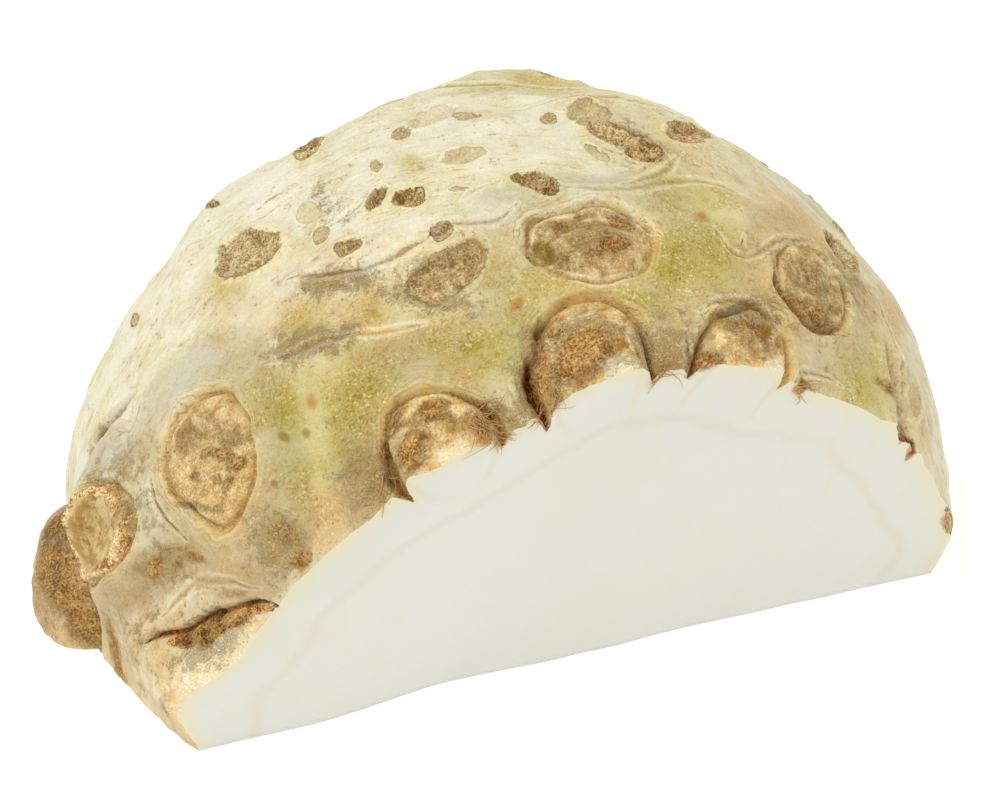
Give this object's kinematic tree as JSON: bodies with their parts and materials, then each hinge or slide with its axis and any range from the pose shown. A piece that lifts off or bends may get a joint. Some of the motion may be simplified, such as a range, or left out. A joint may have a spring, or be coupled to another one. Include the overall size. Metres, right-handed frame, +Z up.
{
  "type": "celeriac root",
  "caption": "Half of a knobbly celeriac root lying on its flat cut face, with a second cut at the front that shows the white flesh.",
  "frame": {"origin": "centre of the bounding box's bottom, in the plane of the large cut face it lies on", "axes": "+Z up from the resting cut face, -Y out of the front cut, +X along the front cut's lower edge"},
  "size_m": [0.1257, 0.0981, 0.0605],
  "materials": {
    "celeriac_root": "dull skin, cream to yellow-green and tan, with rough brown scars; moist off-white flesh on the cut faces"
  },
  "bodies": {
    "root": {"celeriac_root": "celeriac_root"}
  },
  "joints": []
}
